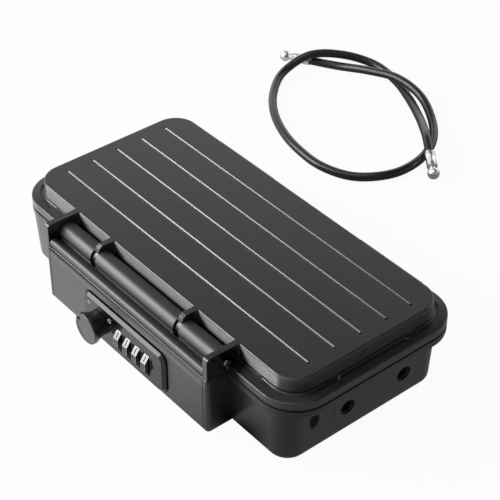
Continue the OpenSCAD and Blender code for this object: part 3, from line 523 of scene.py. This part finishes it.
def cableMaterial(look):
    material, shader = newMaterial("cableCover")
    tree = material.node_tree
    place = addNode(tree, "ShaderNodeUVMap", uv_map="alongCable")
    around = splitOf(tree, place.outputs["UV"])
    perMetre = 2 * math.pi / (look["braidPitch"] * mm) * 2
    strands = []
    for way in (1, -1):
        turn = calculate(tree, "MULTIPLY", around["X"], 2 * math.pi * look["braidTurns"] * way)
        wave = calculate(tree, "MULTIPLY_ADD", around["Y"], perMetre, turn)
        strands.append(calculate(tree, "SINE", wave))
    weave = ramp(tree, calculate(tree, "MULTIPLY", *strands), -1.0, 1.0)
    cover = blended(tree, weave, look["valley"], look["ridge"])
    grain = placeGroup(tree, grainGroup, {"Base": cover, "Roughness": look["rough"], "Dust": look["dust"]})
    wire(material, shader, grain)  # the braid's bumps then lie over the grain's
    braid = bumped(tree, weave, look["braidDepth"] * mm, look["braidStrength"], grain.outputs["Normal"])
    tree.links.new(braid, shader.inputs["Normal"])
    shader.inputs["Specular IOR Level"].default_value = look["sheen"]
    shader.inputs["Coat Weight"].default_value = look["coat"]
    shader.inputs["Coat Roughness"].default_value = look["coatRough"]
    return material


cablePath = [p * mm for p in smoothPath(cableSet["route"], cableSet["steps"])]
cableMesh, cableLength = sweepTube("securityCable", cablePath, cableSet["cover"] * mm, cableSet["sides"])
cable = newObject("securityCable", cableMesh)
cable.data.materials.append(cableMaterial(cableSet))


# Cable ends: crimped sleeve, neck and ball, turned on the line that the cable leaves by
endSet = {
    "sleeve": 13, "sleeveRadius": 3.5, "sleeveEdge": 0.4, "mouthRadius": 3.2, "mouthEdge": 0.35,
    "rings": ((1.6, 2.4), (11.2, 11.9)), "ringDepth": 0.18, "ringSlope": 0.2,
    "crimpFrom": 4.2, "crimpTo": 9.2, "crimpStep": 0.5, "crimpDepth": 0.35, "crimpFlats": 6,
    "neckRadius": 2.2, "neckFillet": 0.2, "ballRadius": 4.0, "ballInset": 0.01, "ballAt": 18.5, "ballSteps": 24,
    "sides": 72,
}


def endProfile(look):
    sleeve, radius, edge = look["sleeve"], look["sleeveRadius"], look["sleeveEdge"]
    neck, fillet, slope = look["neckRadius"], look["neckFillet"], look["ringSlope"]
    firstRing, lastRing = [
        [(radius, start), (radius - look["ringDepth"], start + slope),
         (radius - look["ringDepth"], end - slope), (radius, end)]
        for start, end in look["rings"]
    ]
    crimp = [(radius, look["crimpFrom"]), (radius, look["crimpFrom"] + look["crimpStep"]),
             (radius, look["crimpTo"] - look["crimpStep"]), (radius, look["crimpTo"])]
    line = [(0, 0.0), (look["mouthRadius"], 0.0), (radius, look["mouthEdge"]), *firstRing, *crimp, *lastRing,
            (radius, sleeve - edge), (radius - edge, sleeve), (neck + fillet, sleeve), (neck, sleeve + fillet)]
    ball, at, steps = look["ballRadius"] - look["ballInset"], look["ballAt"], look["ballSteps"]
    start = math.acos(neck / ball)
    line.append((neck, at - ball * math.sin(start)))
    for k in range(1, steps + 1):
        angle = -start + (start + math.pi / 2) * k / steps
        line.append((max(ball * math.cos(angle), 0.0), at + ball * math.sin(angle)))
    return line


def turnedEnd(name, start, ahead, look):
    line, sides, halfFlat = endProfile(look), look["sides"], math.pi / look["crimpFlats"]
    rings, points, faces = [], [], []
    for radius, along in line:
        if radius < 0.001:
            rings.append([len(points)])
            points.append((0, 0, along))
            continue
        pressed = look["crimpFrom"] < along < look["crimpTo"]
        ring = []
        for k in range(sides):
            turn = 2 * math.pi * k / sides
            facet = (turn + halfFlat) % (2 * halfFlat) - halfFlat
            flat = (radius - look["crimpDepth"]) / math.cos(facet) if pressed else radius
            reach = min(flat, radius)
            ring.append(len(points))
            points.append((reach * math.cos(turn), reach * math.sin(turn), along))
        rings.append(ring)
    for low, high in zip(rings, rings[1:]):
        for k in range(sides):
            n = (k + 1) % sides
            if len(low) == 1:
                faces.append((low[0], high[n], high[k]))
            elif len(high) == 1:
                faces.append((low[k], low[n], high[0]))
            else:
                faces.append((low[k], low[n], high[n], high[k]))
    stand = ahead.to_track_quat("Z", "Y").to_matrix().to_4x4()
    mesh = meshFrom(name, [Matrix.Translation(start) @ stand @ (Vector(p) * mm) for p in points], faces)
    mesh.shade_smooth()
    mesh.set_sharp_from_angle(angle=math.radians(30))
    piece = newObject(name, mesh)
    piece.data.materials.append(looks["brightSteel"])
    return piece


farWay = (cablePath[0] - Vector(cableSet["route"][1]) * mm).normalized()
nearWay = (cablePath[-1] - Vector(cableSet["route"][-2]) * mm).normalized()
cableEnds = [
    turnedEnd("cableEndFar", cablePath[0], farWay, endSet),
    turnedEnd("cableEndNear", cablePath[-1], nearWay, endSet),
]
for piece, node in zip([cable] + cableEnds, ["security_cable", "cable_ferrule_1", "cable_ferrule_2"]):
    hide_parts(node)
    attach(piece, bodyOf(node))
print("cable lies on the ground, length", round(cableLength, 4))


# Smooth skins over the CAD solids: the look and the width of the softened edges in millimetres
skinSet = {
    "base_shell": ("casePlastic", 0.22), "lock_housing": ("housingPlastic", 0.22),
    "port_plate": ("casePlastic", 0.0), "lid_shell": ("lidPlastic", 0.2),
    "latch_flap": ("latchPlastic", 0.25), "lock_plate": ("plateLacquer", 0.12),
    "knob": ("knobPlastic", 0.15), "latch_pin": ("brightSteel", 0.08),
    "cable_bush_front": ("bushPlastic", 0.15), "cable_bush_rear": ("bushPlastic", 0.15),
    "gasket": ("sealRubber", 0.15), "hinge_pins": ("plainSteel", 0.15),
    "lock_cover": ("coverPlastic", 0.3), "cover_screws": ("plainSteel", 0.2),
    "lock_frame": ("plainSteel", 0.12), "frame_screws": ("plainSteel", 0.2),
    "knob_spindle": ("plainSteel", 0.15), "locking_cam": ("plainSteel", 0.15),
    "cam_screw": ("plainSteel", 0.2), "dial_axle": ("plainSteel", 0.15),
    "detent_spring": ("brightSteel", 0.03), "fence_bar": ("plainSteel", 0.12),
    "cable_catch": ("plainSteel", 0.2),
    **{f"dial_wheel_{i}": ("dialSteel", 0.12) for i in range(1, 5)},
    **{f"code_disc_{i}": ("plainSteel", 0.1) for i in range(1, 5)},
}
# Creases in degrees: what shades sharp, and from where an edge is softened
edgeSet = {
    "merge": 0.002, "flatWithin": 0.4, "sharpFrom": 32, "softenFrom": {"latch_flap": 70},
    "segments": 2, "evenWeight": 80,
}


def camelName(node):
    first, *rest = node.split("_")
    return first + "".join(word.capitalize() for word in rest)


def skin(node, look, soften, edges):
    shape = bmesh.new()
    shape.from_mesh(frame["nodes"][node].data)
    flatWithin = math.radians(edges["flatWithin"])
    bmesh.ops.remove_doubles(shape, verts=shape.verts, dist=edges["merge"] * mm)
    bmesh.ops.dissolve_limit(shape, angle_limit=flatWithin, verts=shape.verts, edges=shape.edges)
    mesh = bpy.data.meshes.new(camelName(node))
    shape.to_mesh(mesh)
    shape.free()
    mesh.shade_smooth()
    mesh.set_sharp_from_angle(angle=math.radians(edges["sharpFrom"]))
    piece = newObject(camelName(node), mesh)
    bevel = piece.modifiers.new("softEdges", "BEVEL")
    bevel.width = soften * mm
    bevel.segments = edges["segments"]
    bevel.limit_method = "ANGLE"
    bevel.angle_limit = math.radians(edges["softenFrom"].get(node, edges["sharpFrom"]))
    bevel.use_clamp_overlap = False
    bevel.loop_slide = False
    even = piece.modifiers.new("evenShading", "WEIGHTED_NORMAL")
    even.mode = "FACE_AREA"
    even.weight = edges["evenWeight"]
    even.keep_sharp = True
    finished = settle(piece)
    finished.materials.clear()
    finished.materials.append(looks[look])
    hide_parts(node)
    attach(piece, bodyOf(node))


for node, (look, soften) in skinSet.items():
    skin(node, look, soften, edgeSet)
print("skins are on", len(skinSet), "nodes")


# Digits on the ten flats of every number wheel
digitSet = {
    "height": 3.5, "fontScale": 1.38, "bolder": 0.12, "resolution": 4,
    "sink": 0.006, "thickness": 0.016, "firstFlat": 180, "flats": 10,
}


def digitShapes(look):
    row = bpy.data.collections.new("digitShapes")
    for k in range(look["flats"]):
        data = bpy.data.curves.new(f"digit{k}", "FONT")
        data.body = str(k)
        data.align_x = "CENTER"
        data.align_y = "CENTER"
        data.size = look["height"] * look["fontScale"]
        data.extrude = look["thickness"] / 2
        data.offset = look["bolder"]
        data.resolution_u = look["resolution"]
        maker = newObject(f"digitMaker{k}", data)
        bpy.context.view_layer.update()
        mesh = bpy.data.meshes.new_from_object(maker.evaluated_get(bpy.context.evaluated_depsgraph_get()))
        bpy.data.objects.remove(maker)
        mesh.transform(Matrix.Scale(mm, 4))
        row.objects.link(bpy.data.objects.new(f"digit{k}", mesh))
    return row


# One digit from the row for every flat, turned round the wheel's axle
def makeRingTree():
    tree, entry, leave = newTree("digitsRoundWheel", [
        ("Digits", "NodeSocketCollection"), ("Flats", "NodeSocketInt"), ("Radius", "NodeSocketFloat"),
        ("First Turn", "NodeSocketFloat"), ("Middle", "NodeSocketVector"), ("Paint", "NodeSocketMaterial"),
    ])
    link = tree.links.new
    index = tree.nodes.new("GeometryNodeInputIndex").outputs[0]
    step = calculate(tree, "DIVIDE", 2 * math.pi, entry.outputs["Flats"])
    turn = calculate(tree, "SUBTRACT", entry.outputs["First Turn"], calculate(tree, "MULTIPLY", index, step))
    out = tree.nodes.new("ShaderNodeCombineXYZ")
    link(calculate(tree, "COSINE", turn), out.inputs["Y"])
    link(calculate(tree, "SINE", turn), out.inputs["Z"])
    radius, middle = entry.outputs["Radius"], entry.outputs["Middle"]
    place = calculateVector(tree, "MULTIPLY_ADD", out.outputs[0], radius, middle)
    spots = tree.nodes.new("GeometryNodePoints")
    link(entry.outputs["Flats"], spots.inputs["Count"])
    link(place.outputs[0], spots.inputs["Position"])
    tilt = tree.nodes.new("ShaderNodeCombineXYZ")
    link(calculate(tree, "SUBTRACT", turn, math.pi / 2), tilt.inputs["X"])
    turned = tree.nodes.new("FunctionNodeEulerToRotation")
    link(tilt.outputs[0], turned.inputs[0])
    row = addNode(tree, "GeometryNodeCollectionInfo", transform_space="ORIGINAL")
    row.inputs["Separate Children"].default_value = True
    row.inputs["Reset Children"].default_value = True
    link(entry.outputs["Digits"], row.inputs["Collection"])
    setDown = tree.nodes.new("GeometryNodeInstanceOnPoints")
    setDown.inputs["Pick Instance"].default_value = True
    link(spots.outputs[0], setDown.inputs["Points"])
    link(row.outputs[0], setDown.inputs["Instance"])
    link(index, setDown.inputs["Instance Index"])
    link(turned.outputs[0], setDown.inputs["Rotation"])
    real = tree.nodes.new("GeometryNodeRealizeInstances")
    link(setDown.outputs[0], real.inputs[0])
    paint = tree.nodes.new("GeometryNodeSetMaterial")
    link(real.outputs[0], paint.inputs["Geometry"])
    link(entry.outputs["Paint"], paint.inputs["Material"])
    link(paint.outputs[0], leave.inputs[0])
    return tree


digitRow = digitShapes(digitSet)
ringTree = makeRingTree()
for i in range(1, 5):
    low, high, middle = boxOf(f"dial_wheel_{i}")
    piece = newObject(f"wheelDigits{i}", bpy.data.meshes.new(f"wheelDigits{i}"))
    grow(piece, ringTree, {
        "Digits": digitRow,
        "Flats": digitSet["flats"],
        "Radius": (high.y - low.y) / 2 + (digitSet["thickness"] / 2 - digitSet["sink"]) * mm,
        "First Turn": math.radians(digitSet["firstFlat"]),
        "Middle": middle,
        "Paint": looks["digitPaint"],
    })
    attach(piece, bodyOf(f"dial_wheel_{i}"))
for shape in list(digitRow.objects):
    bpy.data.objects.remove(shape)
bpy.data.collections.remove(digitRow)
print("digits are painted")


# Closed and open padlock marks on the plate, placed from the knob's middle
markSet = {
    "closed": (-9.8, 9.0), "open": (9.9, 7.4),
    "width": 2.6, "height": 1.9, "shoulder": 0.7, "post": 0.7, "bow": 0.8, "bowSteps": 10,
    "openShift": 0.9, "openLift": 0.35, "wire": 0.4, "clear": 0.004, "raise": 0.03,
}


def padlockMark(name, centre, openBow, look):
    knob = boxOf("knob")[2]
    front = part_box("lock_plate")[0].y
    shift, lift = (look["openShift"], look["openLift"]) if openBow else (0.0, 0.0)
    w, h, bow, steps = look["width"] / 2, look["height"] / 2, look["bow"], look["bowSteps"]
    top = h * look["shoulder"]
    body = [(-w, -h), (w, -h), (w, top), (-w, top), (-w, -h)]
    arch = [(shift - bow, top)]
    for k in range(steps + 1):
        angle = math.pi * k / steps
        arch.append((shift - bow * math.cos(angle), top + look["post"] + lift + bow * math.sin(angle)))
    if not openBow:
        arch.append((bow, top))
    points, faces = [], []
    at = Vector((knob.x + centre[0] * mm, front - look["clear"] * mm, knob.z + centre[1] * mm))
    for line in (body, arch):
        for a, b in zip(line, line[1:]):
            along = Vector((b[0] - a[0], b[1] - a[1])).normalized() * look["wire"] / 2
            aside = Vector((-along.y, along.x))
            start, end = Vector(a) - along, Vector(b) + along
            n = len(points)
            for out in (0, look["raise"] * mm):
                for p in (start + aside, start - aside, end - aside, end + aside):
                    points.append(at + Vector((p.x * mm, 0, p.y * mm)) - Vector((0, out, 0)))
            faces += [(n + 3, n + 2, n + 1, n), (n + 4, n + 5, n + 6, n + 7)]
            faces += [(n + k, n + (k + 1) % 4, n + (k + 1) % 4 + 4, n + k + 4) for k in range(4)]
    mesh = meshFrom(name, points, faces)
    piece = newObject(name, mesh)
    mesh.materials.append(looks["markPaint"])
    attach(piece, bodyOf("lock_plate"))


padlockMark("closedMark", markSet["closed"], False, markSet)
padlockMark("openMark", markSet["open"], True, markSet)
print("marks are printed")


# Foam linings with a dimpled face
foamSet = {
    "cell": 9.0, "depth": 0.8, "voxel": 1.3, "sharpFrom": 50,
    "poreScale": 1400, "poreDepth": 0.3, "poreStrength": 0.7,
    "poreDark": (0.012, 0.0125, 0.014, 1), "poreLight": (0.07, 0.072, 0.08, 1),
    "rough": 0.95, "sheen": 0.2,
}


def foamMaterial(look):
    material, shader = newMaterial("openFoam")
    tree = material.node_tree
    pores = cells(tree, addNode(tree, "ShaderNodeTexCoord").outputs["Object"], look["poreScale"])
    tree.links.new(blended(tree, pores, look["poreDark"], look["poreLight"]), shader.inputs["Base Color"])
    tree.links.new(bumped(tree, pores, look["poreDepth"] * mm, look["poreStrength"]), shader.inputs["Normal"])
    shader.inputs["Roughness"].default_value = look["rough"]
    shader.inputs["Specular IOR Level"].default_value = look["sheen"]
    return material


looks["openFoam"] = foamMaterial(foamSet)


# Rows of dimples that fade out down the pad's sides
def makeDimpleTree():
    tree, entry, leave = newTree("dimpledFace", [
        ("Cell", "NodeSocketFloat"), ("Depth", "NodeSocketFloat"), ("Face", "NodeSocketFloat"),
        ("Back", "NodeSocketFloat"), ("Foam", "NodeSocketMaterial"),
    ])
    link = tree.links.new
    spot = splitOf(tree, tree.nodes.new("GeometryNodeInputPosition").outputs[0])
    wave = calculate(tree, "DIVIDE", 2 * math.pi, entry.outputs["Cell"])
    rows = [calculate(tree, "COSINE", calculate(tree, "MULTIPLY", spot[axis], wave)) for axis in "XY"]
    dip = calculate(tree, "MULTIPLY_ADD", calculate(tree, "MULTIPLY", *rows), -0.5, 0.5)
    tall = calculate(tree, "SUBTRACT", entry.outputs["Face"], entry.outputs["Back"])
    share = calculate(tree, "DIVIDE", calculate(tree, "SUBTRACT", spot["Z"], entry.outputs["Back"]), tall)
    fade = tree.nodes.new("ShaderNodeClamp")
    link(calculate(tree, "MULTIPLY_ADD", share, 2.0, -1.0), fade.inputs[0])
    inward = calculate(tree, "MULTIPLY", calculate(tree, "SIGN", tall), entry.outputs["Depth"])
    drop = calculate(tree, "MULTIPLY", calculate(tree, "MULTIPLY", dip, fade.outputs[0]), inward)
    shift = tree.nodes.new("ShaderNodeCombineXYZ")
    link(calculate(tree, "MULTIPLY", drop, -1.0), shift.inputs["Z"])
    move = tree.nodes.new("GeometryNodeSetPosition")
    link(entry.outputs["Geometry"], move.inputs["Geometry"])
    link(shift.outputs[0], move.inputs["Offset"])
    real = tree.nodes.new("GeometryNodeRealizeInstances")
    link(move.outputs[0], real.inputs[0])
    coat = tree.nodes.new("GeometryNodeSetMaterial")
    link(real.outputs[0], coat.inputs["Geometry"])
    link(entry.outputs["Foam"], coat.inputs["Material"])
    link(coat.outputs[0], leave.inputs[0])
    return tree


dimpleTree = makeDimpleTree()


def foamPad(node, faceUp, look):
    piece = newObject(camelName(node), frame["nodes"][node].data.copy())
    remesh = piece.modifiers.new("remesh", "REMESH")
    remesh.mode = "VOXEL"
    remesh.voxel_size = look["voxel"] * mm
    low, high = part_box(node)
    finished = grow(piece, dimpleTree, {
        "Cell": look["cell"] * mm,
        "Depth": look["depth"] * mm,
        "Face": high.z if faceUp else low.z,
        "Back": low.z if faceUp else high.z,
        "Foam": looks["openFoam"],
    })
    for vertex in finished.vertices:  # the remesh may stand a hair proud of the solid
        vertex.co = [max(low[k], min(high[k], vertex.co[k])) for k in range(3)]
    finished.shade_smooth()
    finished.set_sharp_from_angle(angle=math.radians(look["sharpFrom"]))
    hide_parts(node)
    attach(piece, bodyOf(node))


foamPad("base_foam", True, foamSet)
foamPad("lid_foam", False, foamSet)
print("foam is laid")


# Pale floor, soft lamps and a white surround, in metres
floorSet = {
    "size": 6.0, "drop": 0.0002, "color": (0.8, 0.8, 0.8), "rough": 0.9, "sheen": 0.1, "cameraGlow": 0.95,
    # As gloss sees it, painted light and shade: the floor glows bright on the near side and dim behind, with a
    # painted shadow in the nook beside the lock housing
    "across": (0.773, 0.635, 0), "brightAt": -0.1, "dimAt": 0.055, "bright": 1.05, "dim": 0.2,
    "nook": (0.083, -0.053, 0), "nookShadowInner": 0.006, "nookShadowOuter": 0.022,
}
lampSet = {
    "frontLeft": {"at": (-0.72, -0.78, 0.55), "to": (0, 0, 0.03), "size": (1.1, 0.7), "energy": 14},
    "edgeStrip": {"at": (-0.80, -0.80, 0.80), "to": (0, 0, 0.03), "size": (1.1, 0.12), "energy": 6},
    "overhead": {"at": (-0.15, 0.1, 1.6), "to": (0, 0, 0), "size": (0.8, 0.8), "energy": 3},
}
# Sky as gloss sees it: from, to, first value and last value along each direction
skySet = {
    "unseen": 0.22,
    "across": (0.1, 0.7, 1.0, 0.3), "upward": (0.46, 0.74, 1.8, 0.0), "behind": (-0.1, 0.2, 0.0, 1.0),
}


def makeFloor(look):
    half, drop = look["size"] / 2, look["drop"]
    corners = [(-half, -half, -drop), (half, -half, -drop), (half, half, -drop), (-half, half, -drop)]
    mesh = meshFrom("floor", corners, [(0, 1, 2, 3)])
    floor = newObject("floor", mesh)
    material, shader = newMaterial("floorPaper")
    tree = material.node_tree
    link = tree.links.new
    shader.inputs["Base Color"].default_value = (*look["color"], 1)
    shader.inputs["Roughness"].default_value = look["rough"]
    shader.inputs["Specular IOR Level"].default_value = look["sheen"]
    rays = addNode(tree, "ShaderNodeLightPath").outputs
    place = addNode(tree, "ShaderNodeTexCoord").outputs["Object"]
    across = calculateVector(tree, "DOT_PRODUCT", place, look["across"]).outputs["Value"]
    fade = ramp(tree, across, look["brightAt"], look["dimAt"], look["bright"], look["dim"], smooth=True)
    # painted shadow on the floor in the nook beside the lock housing, seen only in reflections
    apart = calculateVector(tree, "DISTANCE", place, look["nook"]).outputs["Value"]
    nook = ramp(tree, apart, look["nookShadowInner"], look["nookShadowOuter"], smooth=True)
    seenWhite = addNode(tree, "ShaderNodeEmission")
    # a glow with painted light and shade, which only glossy rays see
    paintedReflectionGlow = addNode(tree, "ShaderNodeEmission")
    link(calculate(tree, "MULTIPLY", fade, nook), paintedReflectionGlow.inputs["Strength"])
    forCamera = addNode(tree, "ShaderNodeMixShader")
    link(calculate(tree, "MULTIPLY", rays["Is Camera Ray"], look["cameraGlow"]), forCamera.inputs["Fac"])
    link(shader.outputs["BSDF"], forCamera.inputs[1])
    link(seenWhite.outputs["Emission"], forCamera.inputs[2])
    mix = addNode(tree, "ShaderNodeMixShader")
    link(rays["Is Glossy Ray"], mix.inputs["Fac"])
    link(forCamera.outputs["Shader"], mix.inputs[1])
    link(paintedReflectionGlow.outputs["Emission"], mix.inputs[2])
    output = next(n for n in tree.nodes if n.type == "OUTPUT_MATERIAL")
    link(mix.outputs["Shader"], output.inputs["Surface"])
    mesh.materials.append(material)


def makeLamp(name, look):
    data = bpy.data.lights.new(name, "AREA")
    data.shape = "RECTANGLE"
    data.size, data.size_y = look["size"]
    data.energy = look["energy"]
    lamp = newObject(name, data)
    lamp.location = look["at"]
    lamp.rotation_euler = (Vector(look["to"]) - Vector(look["at"])).to_track_quat("-Z", "Y").to_euler()


def makeWorld(look):
    world = bpy.data.worlds.new("whiteSurround")
    bpy.context.scene.world = world
    world.use_nodes = True
    tree = world.node_tree
    tree.nodes.clear()
    rays = addNode(tree, "ShaderNodeLightPath").outputs
    way = splitOf(tree, addNode(tree, "ShaderNodeTexCoord").outputs["Generated"])
    across, upward, behind = [ramp(tree, way[axis], *look[key], smooth=True)
                              for axis, key in (("X", "across"), ("Z", "upward"), ("Y", "behind"))]
    dimmed = calculate(tree, "MULTIPLY", calculate(tree, "SUBTRACT", upward, 1.0), behind)
    seen = calculate(tree, "MULTIPLY", across, calculate(tree, "ADD", dimmed, 1.0))
    glossy = addNode(tree, "ShaderNodeMix", data_type="FLOAT")
    glossy.inputs["A"].default_value = look["unseen"]
    tree.links.new(rays["Is Glossy Ray"], glossy.inputs["Factor"])
    tree.links.new(seen, glossy.inputs["B"])
    background = addNode(tree, "ShaderNodeBackground")
    strength = calculate(tree, "MAXIMUM", glossy.outputs["Result"], rays["Is Camera Ray"])
    tree.links.new(strength, background.inputs["Strength"])
    output = addNode(tree, "ShaderNodeOutputWorld")
    tree.links.new(background.outputs["Background"], output.inputs["Surface"])


makeFloor(floorSet)
for lampName, look in lampSet.items():
    makeLamp(lampName, look)
makeWorld(skySet)
print("floor and lamps are set")
